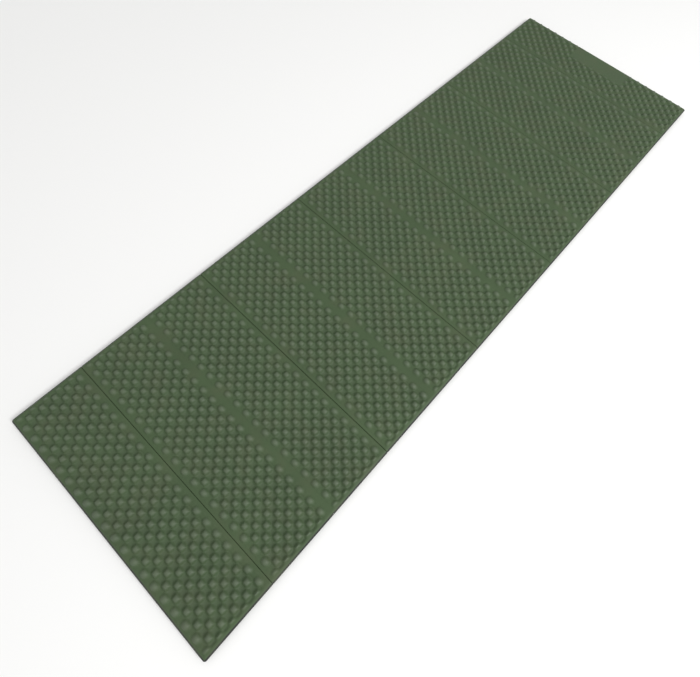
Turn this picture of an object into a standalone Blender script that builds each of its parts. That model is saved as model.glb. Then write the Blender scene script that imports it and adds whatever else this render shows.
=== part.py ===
"""Accordion-fold foam sleeping pad: twelve moulded foam panels joined by eleven pressed fold webs.

Units are metres. The pad lies flat on Z = 0, its length along Y and its width along X, centred on the origin.
Panel 01 is at the -Y end and panel 12, the one with the plain patch, is at the +Y end.
"""

import bpy
import bmesh
from mathutils import Vector

# Overall pad
LENGTH = 1.830
WIDTH = 0.570
THICKNESS = 0.018
PANELS = 12
PITCH = LENGTH / PANELS

# Foam sheet where it is flat: the rim of every panel, halfway up the thickness
RIM_LOW = 0.0045
RIM_HIGH = 0.0135
SIDE_RIM = 0.0085
END_RIM = 0.0070
FOLD_RIM = 0.0080
RIM_CORNER_RADIUS = 0.008
RIM_EDGE_RADIUS = 0.0025

# Full-thickness field of each panel, which carries the moulded bumps
FIELD_CORNER_RADIUS = 0.006
FIELD_EDGE_RADIUS = 0.003

# Living hinges: the thin web of foam left along each fold line
WEB_WIDTH = 0.0036
WEB_THICKNESS = 0.0025
WEB_EDGE_RADIUS = 0.0004

# Plain patch in the middle of the last panel, reaching the end of the pad
PATCH_WIDTH = 0.196
PATCH_DEPTH = 0.075
PATCH_TOP = 0.0170
PATCH_EDGE_RADIUS = 0.002

# Clearances
SLIT = 0.0006
GAP = 0.0003
CUTTER_MARGIN = 0.02

FOAM_COLOUR = (0.082, 0.112, 0.063, 1.0)
WEB_COLOUR = (0.074, 0.108, 0.061, 1.0)


def clear_scene():
    for item in list(bpy.data.objects):
        bpy.data.objects.remove(item)


def foam_material(name, colour):
    material = bpy.data.materials.new(name)
    material.use_nodes = True
    shader = material.node_tree.nodes["Principled BSDF"]
    shader.inputs["Base Color"].default_value = colour
    shader.inputs["Roughness"].default_value = 0.85
    shader.inputs["Metallic"].default_value = 0.0
    return material


def fold_y(number):
    """Y of a fold line; fold 0 and fold 12 are the two ends of the pad."""
    return -LENGTH / 2 + number * PITCH


def closes_on_top(number):
    """Even folds bring the top faces together; odd folds bring the undersides together."""
    return number % 2 == 0


def box_mesh(low, high):
    """A closed bmesh box between two corners."""
    mesh = bmesh.new()
    bmesh.ops.create_cube(mesh, size=1.0)
    low = Vector(low)
    high = Vector(high)
    for vertex in mesh.verts:
        for axis in range(3):
            vertex.co[axis] = high[axis] if vertex.co[axis] > 0 else low[axis]
    return mesh


def bevel_edges(mesh, chosen, radius, segments):
    edges = [edge for edge in mesh.edges if chosen(edge)]
    bmesh.ops.bevel(
        mesh, geom=edges, offset=radius, segments=segments, profile=0.5,
        affect='EDGES', clamp_overlap=True,
    )


def is_upright(edge):
    first, second = (vertex.co for vertex in edge.verts)
    return abs(first.z - second.z) > 1e-4


def as_object(mesh, name, material):
    """Finishes a bmesh as an object whose origin is at the middle of its box."""
    bmesh.ops.recalc_face_normals(mesh, faces=mesh.faces)
    corners = [vertex.co.copy() for vertex in mesh.verts]
    low = Vector(min(corner[axis] for corner in corners) for axis in range(3))
    high = Vector(max(corner[axis] for corner in corners) for axis in range(3))
    middle = (low + high) / 2
    bmesh.ops.translate(mesh, verts=mesh.verts, vec=-middle)
    data = bpy.data.meshes.new(name)
    mesh.to_mesh(data)
    mesh.free()
    item = bpy.data.objects.new(name, data)
    item.location = middle
    bpy.context.scene.collection.objects.link(item)
    if material is not None:
        data.materials.append(material)
    return item


def combine(item, other, operation):
    """Joins or cuts with another solid, which stays as a hidden cutter."""
    other.hide_render = True
    other.display_type = 'WIRE'
    change = item.modifiers.new(operation.lower(), 'BOOLEAN')
    change.operation = operation
    change.solver = 'EXACT'
    change.object = other


def rim_plate(number, start, end):
    """The flat sheet of a panel, rounded on the outer edges only, with the pad's end corners rounded."""
    mesh = box_mesh((-WIDTH / 2, start, RIM_LOW), (WIDTH / 2, end, RIM_HIGH))
    pad_ends = [y for y in (fold_y(0), fold_y(PANELS)) if abs(y - start) < 1e-6 or abs(y - end) < 1e-6]

    def at_pad_end(vertex):
        return any(abs(vertex.co.y - y) < 1e-6 for y in pad_ends)

    if pad_ends:
        bevel_edges(
            mesh,
            lambda edge: is_upright(edge) and all(at_pad_end(v) for v in edge.verts),
            RIM_CORNER_RADIUS, 5,
        )
    fold_faces = [y for y in (start, end) if y not in pad_ends and abs(abs(y) - LENGTH / 2) > 1e-6]

    def on_fold_face(edge):
        return any(all(abs(v.co.y - y) < 1e-6 for v in edge.verts) for y in fold_faces)

    bevel_edges(
        mesh,
        lambda edge: not is_upright(edge) and not on_fold_face(edge) and len(edge.link_faces) == 2
        and edge.calc_face_angle() > 1.0,
        RIM_EDGE_RADIUS, 2,
    )
    return mesh


def field_block(start_rim, end_rim, start, end):
    """The full-thickness middle of a panel, with softened corners and edges."""
    low = (-WIDTH / 2 + SIDE_RIM, start + start_rim, 0.0)
    high = (WIDTH / 2 - SIDE_RIM, end - end_rim, THICKNESS)
    mesh = box_mesh(low, high)
    bevel_edges(mesh, is_upright, FIELD_CORNER_RADIUS, 3)
    bevel_edges(
        mesh,
        lambda edge: not is_upright(edge) and edge.calc_face_angle() > 1.0,
        FIELD_EDGE_RADIUS, 2,
    )
    return mesh


def web_heights(number):
    """Lowest and highest Z of a fold web: flush with the rim on the side where the fold closes."""
    if closes_on_top(number):
        return RIM_HIGH - WEB_THICKNESS, RIM_HIGH
    return RIM_LOW, RIM_LOW + WEB_THICKNESS


def web_recess(number):
    """Cutter that clears the room of one fold web out of the rims beside it."""
    low, high = web_heights(number)
    if closes_on_top(number):
        low, high = low - GAP, high + CUTTER_MARGIN
    else:
        low, high = low - CUTTER_MARGIN, high + GAP
    half = WEB_WIDTH / 2 + GAP
    y = fold_y(number)
    return box_mesh(
        (-WIDTH / 2 - CUTTER_MARGIN, y - half, low),
        (WIDTH / 2 + CUTTER_MARGIN, y + half, high),
    )


def patch_recess():
    """Cutter that takes the bump field down to clear the plain patch."""
    return box_mesh(
        (-PATCH_WIDTH / 2, LENGTH / 2 - PATCH_DEPTH, PATCH_TOP - 0.002),
        (PATCH_WIDTH / 2, LENGTH / 2 + CUTTER_MARGIN, THICKNESS + CUTTER_MARGIN),
    )


def patch_block():
    """The plain patch: a level area a little below the bump tops, as thick as the sheet allows."""
    half = PATCH_WIDTH / 2 - PATCH_EDGE_RADIUS
    mesh = box_mesh(
        (-half, LENGTH / 2 - PATCH_DEPTH + PATCH_EDGE_RADIUS, RIM_LOW + 0.003),
        (half, LENGTH / 2 - 0.0004, PATCH_TOP),
    )
    bevel_edges(
        mesh,
        lambda edge: all(vertex.co.z > THICKNESS / 2 for vertex in edge.verts),
        PATCH_EDGE_RADIUS, 2,
    )
    return mesh


def make_panel(number, material):
    first = number == 1
    last = number == PANELS
    start = fold_y(number - 1) + (0.0 if first else SLIT / 2)
    end = fold_y(number) - (0.0 if last else SLIT / 2)
    start_rim = END_RIM if first else FOLD_RIM
    end_rim = END_RIM if last else FOLD_RIM
    name = f"foam_panel_{number:02d}"
    panel = as_object(rim_plate(number, start, end), name, material)
    folds = [fold for fold in (number - 1, number) if 0 < fold < PANELS]
    for fold in folds:
        recess = as_object(web_recess(fold), f"{name}_recess_{fold:02d}", None)
        combine(panel, recess, 'DIFFERENCE')
    block = as_object(field_block(start_rim, end_rim, start, end), f"{name}_field", None)
    combine(panel, block, 'UNION')
    if last:
        recess = as_object(patch_recess(), f"{name}_patch_recess", None)
        combine(panel, recess, 'DIFFERENCE')
        patch = as_object(patch_block(), f"{name}_patch", None)
        combine(panel, patch, 'UNION')
    return panel


def make_web(number, material):
    low, high = web_heights(number)
    y = fold_y(number)
    mesh = box_mesh(
        (-WIDTH / 2, y - WEB_WIDTH / 2, low),
        (WIDTH / 2, y + WEB_WIDTH / 2, high),
    )
    bevel_edges(mesh, lambda edge: True, WEB_EDGE_RADIUS, 2)
    return as_object(mesh, f"fold_web_{number:02d}", material)


def main():
    clear_scene()
    for number in range(1, PANELS + 1):
        make_panel(number, foam_material(f"foam_{number:02d}", FOAM_COLOUR))
    for number in range(1, PANELS):
        make_web(number, foam_material(f"web_{number:02d}", WEB_COLOUR))


main()
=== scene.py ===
"""Looks of the folding foam sleeping pad, in metres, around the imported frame.

The pad lies flat with its length along Y. Each of its 12 panels is a moulded sheet with staggered
domes and pits on both faces, and each fold between two panels is a thin web of foam that bends.
"""
import math

import bpy
import numpy as np
from mathutils import Matrix, Vector


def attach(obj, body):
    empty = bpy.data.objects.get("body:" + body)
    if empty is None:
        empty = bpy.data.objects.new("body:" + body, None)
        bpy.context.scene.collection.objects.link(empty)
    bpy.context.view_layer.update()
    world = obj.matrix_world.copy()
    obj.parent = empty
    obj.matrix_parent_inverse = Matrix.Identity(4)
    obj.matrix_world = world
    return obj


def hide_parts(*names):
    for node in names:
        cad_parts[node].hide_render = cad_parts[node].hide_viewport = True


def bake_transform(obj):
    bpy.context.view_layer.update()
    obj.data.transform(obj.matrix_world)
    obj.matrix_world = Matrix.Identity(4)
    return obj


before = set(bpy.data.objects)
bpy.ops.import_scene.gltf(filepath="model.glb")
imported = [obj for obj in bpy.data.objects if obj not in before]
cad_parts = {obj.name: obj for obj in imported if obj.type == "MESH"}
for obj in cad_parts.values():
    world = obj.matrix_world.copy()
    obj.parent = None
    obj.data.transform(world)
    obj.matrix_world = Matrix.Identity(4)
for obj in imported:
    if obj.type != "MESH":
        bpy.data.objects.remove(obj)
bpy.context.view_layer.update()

# ---- the pad's measures ----
LENGTH = 1.830
WIDTH = 0.570
THICKNESS = 0.018
PANELS = 12
PITCH = LENGTH / PANELS

# the flat rims of a panel lie between these heights; domes rise above them and pits sink below
RIM_LOW = 0.0045
RIM_HIGH = 0.0135
BUMP_HEIGHT = THICKNESS - RIM_HIGH

# the staggered pattern: domes in rows across the pad, with a pit half way between two domes
BUMP_PITCH = 0.02765
ROWS = 10
FIRST_ROW = 0.01430
ROW_SPACING = (PITCH - 2 * FIRST_ROW) / (ROWS - 1)
DOME_RADIUS = 0.0096
DOME_ROUNDNESS = 1.4
PIT_RADIUS = 0.0105
PIT_DEPTH = 0.60
PIT_ROUNDNESS = 1.0
CELL_STEPS = 8

# where the pattern fades out: this far from the pad's middle line, and this far past the end rows;
# the pits fade out sooner, over the last stretch before the end rows
SIDE_FADE_INNER = 0.2720
SIDE_FADE_OUTER = 0.2780
ROW_FADE_INNER = 0.0045
ROW_FADE_OUTER = 0.0085
PIT_FADE = 0.008

# the pad's outline: both faces slope softly to it, its corners are round, and a near-black painted shade
# covers its rim this far in
EDGE_REACH = 0.0085
EDGE_DROP = 0.0042
EDGE_STOPS = 8
CORNER = 0.005
SHADED_RIM_WIDTH = 0.0030

# steeper creases than this are shaded as sharp
SHARP_ANGLE = math.radians(62)

# the folds: the slit between two panels, its rounded lips, two grid lines on the flat rim beside it,
# and the web that closes one side of it
SLIT_HALF = 0.0003
LIP = 0.0012
LIP_STOPS = 4
RIM_STOPS = (0.0035, 0.0072)
WEB_HALF = 0.006
WEB_THICKNESS = 0.0025
WEB_INSET = EDGE_REACH * (1 - math.sqrt(WEB_THICKNESS / EDGE_DROP))
WEB_GAP = 0.0001
WEB_ROWS = 33
WEB_COLUMNS = 41

# half the narrow space between two grid lines that make an upright step, and the thinnest web
STEP = 0.00004

# the plain patch at the far end
PATCH_HALF_WIDTH = 0.098
PATCH_DEPTH = 0.075
PATCH_TOP = 0.0139
PATCH_FADE = 0.008

# ---- the view and the light ----
CAMERA_LENS = 20.57
SENSOR_WIDTH = 36.0
CAMERA_PLACE = (0.2465, -0.5964, 0.8230)
CAMERA_LOOK = (-0.2063, 0.3018, -0.9308)
CAMERA_UP = (-0.65324, 0.66703, 0.35826)
WORLD_STRENGTH = 0.78
KEY_PLACE = (2.80, 0.20, 2.35)
KEY_TARGET = (0, 0, 0)
KEY_SIZE = 1.0
KEY_POWER = 76
FLOOR_HALF = 30.0
FLOOR_COLOUR = (0.90, 0.90, 0.89, 1)
FLOOR_ROUGHNESS = 0.9

# ---- the foam's looks ----
FLAT_GREEN = (0.057, 0.091, 0.0415, 1)
# painted highlight: the lighter green painted on the dome tops
HIGHLIGHT_GREEN = (0.082, 0.113, 0.065, 1)
WORN_BROWN = (0.080, 0.092, 0.050, 1)
# painted shade: the near-black grey painted on the pad's rim and side walls
EDGE_SHADE_GREY = (0.016, 0.019, 0.015, 1)

# painted highlight: the dome tops are painted lighter from this far above the rims
HIGHLIGHT_START = 0.0008

# the flat rims are duller than the domes, pits and edge slopes, from and to these distances off them
FLAT_GLOSS = 0.25
RAISED_GLOSS = 0.5
GLOSS_START = 0.0003
GLOSS_END = 0.0038
SMOOTHEST = 0.55
ROUGHEST = 0.66

# the surface detail: four scales in cycles per metre, then how strong it is and the depth of a pore
MOTTLE_SCALE = 14.0
HUE_SCALE = 24.0
GRAIN_SCALE = 900.0
CELL_SCALE = 1100.0
SHADE_SPREAD = 0.07
BROWN_SHARE = 0.4
PORE_DEPTH = 0.0004


def fold_y(number):
    """Y of a fold line; 0 and 12 are the pad's ends."""
    return -LENGTH / 2 + number * PITCH


def closes_on_top(number):
    """Even folds bring the top faces together; odd folds bring the undersides together."""
    return number % 2 == 0


def smooth(value, low, high):
    """Smooth 0 to 1 as value goes from low to high."""
    t = np.clip((value - low) / (high - low), 0.0, 1.0)
    return t * t * (3 - 2 * t)


# ---- panel shape ----
def nearest(x, along, first):
    """Distance to the nearest point of the staggered lattice that has a first-row point at x = first."""
    best = np.full(x.shape, np.inf)
    for stagger in (0, 1):
        row = 2 * np.round((along / ROW_SPACING - stagger) / 2) + stagger
        shift = first + stagger * BUMP_PITCH / 2
        column = np.round((x - shift) / BUMP_PITCH)
        distance = np.hypot(x - shift - column * BUMP_PITCH, along - row * ROW_SPACING)
        best = np.minimum(best, distance)
    return best


def domes_and_pits(x, y, number):
    """How far each point is up a dome and down a pit, 0 to 1, faded out to 0 on the flat rims."""
    along = y - fold_y(number - 1) - FIRST_ROW
    to_dome = nearest(x, along, 0.0) / DOME_RADIUS
    to_pit = nearest(x, along, BUMP_PITCH / 2) / PIT_RADIUS
    domes = np.clip(1 - to_dome ** 2, 0, 1) ** DOME_ROUNDNESS
    pits = np.clip(1 - to_pit ** 2, 0, 1) ** PIT_ROUNDNESS
    side = 1 - smooth(np.abs(x), SIDE_FADE_INNER, SIDE_FADE_OUTER)
    past_rows = np.maximum(-along, along - (ROWS - 1) * ROW_SPACING)
    dome_share = 1 - smooth(past_rows, ROW_FADE_INNER, ROW_FADE_OUTER)
    pit_share = 1 - smooth(past_rows, -PIT_FADE, 0)
    return domes * dome_share * side, pits * pit_share * side


def patch_share(x, y):
    """1 on the plain patch at the far end of the last panel, 0 outside it."""
    across = 1 - smooth(np.abs(x), PATCH_HALF_WIDTH - PATCH_FADE, PATCH_HALF_WIDTH)
    edge = LENGTH / 2 - PATCH_DEPTH
    return across * smooth(y, edge, edge + PATCH_FADE)


def edge_slope(distance):
    """How far the outline's soft edge has dropped at a distance in from the outline."""
    return EDGE_DROP * np.clip(1 - distance / EDGE_REACH, 0.0, 1.0) ** 2


def edge_stops():
    """Distances in from the outline, evenly over the soft edge."""
    return [EDGE_REACH * i / EDGE_STOPS for i in range(EDGE_STOPS + 1)]


def lip_round(distance):
    """How far the quarter-round lip of a slit has dropped at a distance in from the slit."""
    inside = np.clip(1 - distance / LIP, 0.0, 1.0)
    return LIP * (1 - np.sqrt(1 - inside * inside))


def lip_stops():
    """Distances in from a fold line that follow the lip's quarter round evenly."""
    return [SLIT_HALF + LIP * (1 - math.cos(math.pi / 2 * i / LIP_STOPS)) for i in range(LIP_STOPS + 1)]


def x_stops():
    """Where the grid lines along the pad lie: even on the soft edges, in step with the pattern between."""
    left = [-WIDTH / 2 + d for d in edge_stops()]
    step = BUMP_PITCH / 2 / CELL_STEPS
    count = int((WIDTH / 2 - EDGE_REACH) / step - 0.5)
    inner = [step * i for i in range(-count, count + 1)]
    return np.array(left + inner + [-x for x in reversed(left)])


def end_stops(at_outline):
    """Distances in from one end of a panel, which is either the pad's outline or a fold."""
    if at_outline:
        return edge_stops()
    rim_near, rim_far = RIM_STOPS
    return lip_stops() + [rim_near, WEB_HALF - STEP, WEB_HALF + STEP, rim_far]


def y_stops(number):
    """Where the grid lines across a panel lie: close at its two ends, in step with the rows between."""
    start, end = fold_y(number - 1), fold_y(number)
    near = [start + d for d in end_stops(number == 1)]
    far = [end - d for d in end_stops(number == PANELS)]
    step = ROW_SPACING / CELL_STEPS
    spare = int((FIRST_ROW - EDGE_REACH) / step)
    last = (ROWS - 1) * CELL_STEPS + spare
    inner = [start + FIRST_ROW + step * i for i in range(-spare, last + 1)]
    return np.array(near + inner + far[::-1])


def round_corner(x, y, end_y, sign):
    """Moves the grid points of the two corners at one end of the pad onto quarter discs."""
    for side in (-1, 1):
        across = CORNER - (WIDTH / 2 - side * x)
        along = CORNER - sign * (y - end_y)
        inside = (across > 1e-9) & (along > 1e-9)
        u, v = across[inside], along[inside]
        scale = np.maximum(u, v) / np.hypot(u, v)
        x[inside] = side * (WIDTH / 2 - CORNER + u * scale)
        y[inside] = end_y + sign * (CORNER - v * scale)


def panel_surfaces(number):
    """Grids of x and y over a panel, and of the heights of its top and bottom faces."""
    x, y = np.meshgrid(x_stops(), y_stops(number))
    start, end = fold_y(number - 1), fold_y(number)
    domes, pits = domes_and_pits(x, y, number)
    top = RIM_HIGH + BUMP_HEIGHT * (domes - PIT_DEPTH * pits)
    bottom = RIM_LOW + BUMP_HEIGHT * (domes - pits)

    outline = WIDTH / 2 - np.abs(x)
    if number == 1:
        outline = np.minimum(outline, y - start)
    if number == PANELS:
        outline = np.minimum(outline, end - y)
        share = patch_share(x, y)
        top = top * (1 - share) + PATCH_TOP * share
        bottom = bottom * (1 - share) + RIM_LOW * share
    drop = edge_slope(outline)
    top = top - drop
    bottom = bottom + drop

    for fold, inward in ((number - 1, y - start), (number, end - y)):
        if fold in (0, PANELS):
            continue
        lip = lip_round(inward - SLIT_HALF)
        over_web = inward < WEB_HALF
        if closes_on_top(fold):
            bottom = bottom + lip
            under_web = RIM_HIGH - WEB_THICKNESS - WEB_GAP
            top = np.where(over_web, np.minimum(top, under_web), top)
        else:
            top = top - lip
            above_web = RIM_LOW + WEB_THICKNESS + WEB_GAP
            bottom = np.where(over_web, np.maximum(bottom, above_web), bottom)

    if number == 1:
        round_corner(x, y, start, 1)
    if number == PANELS:
        round_corner(x, y, end, -1)
    return x, y, top, bottom


# ---- meshes ----
def sheet_faces(rows, cols):
    """Quads of a closed sheet: a top grid, a bottom grid and the walls between their borders."""
    index = np.arange(rows * cols).reshape(rows, cols)
    a, b = index[:-1, :-1].ravel(), index[:-1, 1:].ravel()
    c, d = index[1:, 1:].ravel(), index[1:, :-1].ravel()
    below = rows * cols
    top = np.stack([a, b, c, d], 1)
    bottom = np.stack([a, d, c, b], 1) + below
    border = np.concatenate([
        index[0, :-1], index[:-1, -1], index[-1, :0:-1], index[:0:-1, 0],
    ])
    after = np.roll(border, -1)
    walls = np.stack([border, border + below, after + below, after], 1)
    return np.concatenate([top, bottom, walls])


def make_sheet(name, x, y, top, bottom, materials):
    """A closed sheet whose faces close to the pad's outline take the second material, a painted shade."""
    points = np.concatenate([
        np.stack([x, y, top], -1).reshape(-1, 3),
        np.stack([x, y, bottom], -1).reshape(-1, 3),
    ])
    quads = sheet_faces(*x.shape)
    mesh = bpy.data.meshes.new(name)
    mesh.from_pydata(points.tolist(), [], quads.tolist())
    for material in materials:
        mesh.materials.append(material)
    middles = points[quads].mean(axis=1)
    inward = np.minimum(WIDTH / 2 - np.abs(middles[:, 0]), LENGTH / 2 - np.abs(middles[:, 1]))
    # faces close to the outline get the painted shade
    mesh.polygons.foreach_set("material_index", (inward < SHADED_RIM_WIDTH).astype(np.int32))
    mesh.polygons.foreach_set("use_smooth", np.ones(len(quads), dtype=bool))
    mesh.set_sharp_from_angle(angle=SHARP_ANGLE)
    mesh.update()
    item = bpy.data.objects.new(name, mesh)
    bpy.context.scene.collection.objects.link(item)
    return item


def make_panel(number, materials):
    """One firm panel of the pad, riding on its own body."""
    panel = make_sheet(f"moulded_panel_{number:02d}", *panel_surfaces(number), materials)
    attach(panel, f"panel_{number:02d}")
    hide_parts(f"foam_panel_{number:02d}")


def make_web(number, materials):
    """A thin strip of foam that bends between two panels; the soft edge tapers it away at both ends."""
    middle = fold_y(number)
    left = [-WIDTH / 2 + d for d in [WEB_INSET] + [d for d in edge_stops() if d > WEB_INSET]]
    across = np.linspace(-WIDTH / 2 + EDGE_REACH, WIDTH / 2 - EDGE_REACH, WEB_COLUMNS)[1:-1]
    stops = np.array(left + list(across) + [-x for x in reversed(left)])
    x, y = np.meshgrid(stops, middle + np.linspace(-WEB_HALF, WEB_HALF, WEB_ROWS))
    drop = edge_slope(WIDTH / 2 - np.abs(x))
    if closes_on_top(number):
        top = RIM_HIGH - drop
        bottom = np.minimum(RIM_HIGH - WEB_THICKNESS, top - STEP)
    else:
        bottom = RIM_LOW + drop
        top = np.maximum(RIM_LOW + WEB_THICKNESS, bottom + STEP)
    web = make_sheet(f"hinge_web_{number:02d}", x, y, top, bottom, materials)
    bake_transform(web)
    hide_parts(f"fold_web_{number:02d}")


# ---- materials ----
def add_node(tree, kind, inputs, **settings):
    """Adds a node with its settings; an input is given a value or linked from another socket."""
    node = tree.nodes.new(kind)
    for name, value in settings.items():
        setattr(node, name, value)
    for name, value in inputs.items():
        if isinstance(value, bpy.types.NodeSocket):
            tree.links.new(value, node.inputs[name])
        else:
            node.inputs[name].default_value = value
    return node


def add_range(tree, value, from_low, from_high, to_low, to_high):
    """Maps one range of values onto another."""
    node = add_node(tree, "ShaderNodeMapRange", {
        "Value": value, "From Min": from_low, "From Max": from_high,
        "To Min": to_low, "To Max": to_high,
    })
    return node.outputs["Result"]


def add_distance(tree, value, level):
    """How far a value is from a level."""
    difference = add_node(tree, "ShaderNodeMath", {0: value, 1: level}, operation='SUBTRACT')
    size = add_node(tree, "ShaderNodeMath", {0: difference.outputs["Value"]}, operation='ABSOLUTE')
    return size.outputs["Value"]


def foam_material(name, flat_colour, highlight_colour, raised_gloss, relief):
    """Matte closed-cell foam: fine cells, faint brown mottling, and a painted highlight that lightens the
    dome tops.
    """
    material = bpy.data.materials.new(name)
    material.use_nodes = True
    tree = material.node_tree
    shader = tree.nodes["Principled BSDF"]
    place = tree.nodes.new("ShaderNodeTexCoord").outputs["Object"]
    height = add_node(tree, "ShaderNodeSeparateXYZ", {"Vector": place}).outputs["Z"]

    def noise(scale, detail):
        return add_node(tree, "ShaderNodeTexNoise", {
            "Vector": place, "Scale": scale, "Detail": detail,
        }).outputs["Fac"]

    mottle = noise(MOTTLE_SCALE, 4.0)
    hue = noise(HUE_SCALE, 2.0)
    grain = noise(GRAIN_SCALE, 3.0)
    cells = add_node(tree, "ShaderNodeTexVoronoi", {"Vector": place, "Scale": CELL_SCALE})

    # painted highlight: the colour grows lighter with height on the dome tops
    dome_highlight = add_range(tree, height, RIM_HIGH + HIGHLIGHT_START, THICKNESS, 0.0, 1.0)
    base = add_node(tree, "ShaderNodeMix", {
        "Factor": dome_highlight, "A": flat_colour, "B": highlight_colour,
    }, data_type='RGBA')
    worn = add_node(tree, "ShaderNodeMix", {
        "Factor": add_range(tree, hue, 0.45, 0.75, 0.0, BROWN_SHARE),
        "A": base.outputs["Result"], "B": WORN_BROWN,
    }, data_type='RGBA')
    shade = add_node(tree, "ShaderNodeMath", {
        0: add_range(tree, mottle, 0.3, 0.7, 1 - SHADE_SPREAD, 1 + SHADE_SPREAD),
        1: add_range(tree, grain, 0.0, 1.0, 1 - SHADE_SPREAD, 1 + SHADE_SPREAD),
    }, operation='MULTIPLY')
    tint = add_node(tree, "ShaderNodeVectorMath", {
        0: worn.outputs["Result"], "Scale": shade.outputs["Value"],
    }, operation='SCALE')
    tree.links.new(tint.outputs["Vector"], shader.inputs["Base Color"])

    roughness = add_range(tree, mottle, 0.3, 0.7, SMOOTHEST, ROUGHEST)
    tree.links.new(roughness, shader.inputs["Roughness"])
    off_middle = add_distance(tree, height, THICKNESS / 2)
    off_rims = add_distance(tree, off_middle, RIM_HIGH - THICKNESS / 2)
    gloss = add_range(tree, off_rims, GLOSS_START, GLOSS_END, FLAT_GLOSS, raised_gloss)
    tree.links.new(gloss, shader.inputs["Specular IOR Level"])

    pores = add_node(tree, "ShaderNodeMath", {0: grain, 1: cells.outputs["Distance"]}, operation='ADD')
    bump = add_node(tree, "ShaderNodeBump", {
        "Strength": relief, "Distance": PORE_DEPTH, "Height": pores.outputs["Value"],
    })
    tree.links.new(bump.outputs["Normal"], shader.inputs["Normal"])
    return material


# ---- floor, light, camera ----
def make_floor():
    """A plain pale floor under the pad."""
    mesh = bpy.data.meshes.new("floor")
    corners = [(-FLOOR_HALF, -FLOOR_HALF, 0), (FLOOR_HALF, -FLOOR_HALF, 0),
               (FLOOR_HALF, FLOOR_HALF, 0), (-FLOOR_HALF, FLOOR_HALF, 0)]
    mesh.from_pydata(corners, [], [(0, 1, 2, 3)])
    floor = bpy.data.objects.new("floor", mesh)
    bpy.context.scene.collection.objects.link(floor)
    material = bpy.data.materials.new("pale_floor")
    material.use_nodes = True
    shader = material.node_tree.nodes["Principled BSDF"]
    shader.inputs["Base Color"].default_value = FLOOR_COLOUR
    shader.inputs["Roughness"].default_value = FLOOR_ROUGHNESS
    mesh.materials.append(material)


def make_lights():
    """An even white studio and one key light from the right; colours are shown as they are."""
    world = bpy.data.worlds.new("studio")
    bpy.context.scene.world = world
    world.use_nodes = True
    sky = world.node_tree.nodes["Background"]
    sky.inputs["Color"].default_value = (1.0, 1.0, 1.0, 1)
    sky.inputs["Strength"].default_value = WORLD_STRENGTH

    data = bpy.data.lights.new("key", 'AREA')
    data.energy = KEY_POWER
    data.size = KEY_SIZE
    key = bpy.data.objects.new("key", data)
    key.location = KEY_PLACE
    key.rotation_mode = 'QUATERNION'
    key.rotation_quaternion = (Vector(KEY_TARGET) - Vector(KEY_PLACE)).to_track_quat('-Z', 'Y')
    bpy.context.scene.collection.objects.link(key)
    bpy.context.scene.view_settings.view_transform = 'Standard'


def make_camera():
    """The photograph's view: high over the near right part of the pad."""
    data = bpy.data.cameras.new("camera")
    data.sensor_width = SENSOR_WIDTH
    data.lens = CAMERA_LENS
    data.clip_start = 0.01
    data.clip_end = 100
    camera = bpy.data.objects.new("camera", data)
    bpy.context.scene.collection.objects.link(camera)
    look = Vector(CAMERA_LOOK).normalized()
    side = look.cross(Vector(CAMERA_UP)).normalized()
    up = side.cross(look)
    turn = Matrix((side, up, -look)).transposed()
    camera.matrix_world = Matrix.Translation(Vector(CAMERA_PLACE)) @ turn.to_4x4()
    bpy.context.scene.camera = camera


# ---- build ----
# the panels' foam, with the painted highlight on its dome tops
moulded = foam_material("moulded_foam", FLAT_GREEN, HIGHLIGHT_GREEN, RAISED_GLOSS, 0.25)
pressed = foam_material("pressed_foam", FLAT_GREEN, FLAT_GREEN, FLAT_GLOSS, 0.22)
# painted shade for the pad's rim
edge_shade = foam_material("painted_edge_shade_foam", EDGE_SHADE_GREY, EDGE_SHADE_GREY, RAISED_GLOSS, 0.35)

for panel_number in range(1, PANELS + 1):
    make_panel(panel_number, (moulded, edge_shade))
for fold_number in range(1, PANELS):
    make_web(fold_number, (pressed, edge_shade))

make_floor()
make_lights()
make_camera()
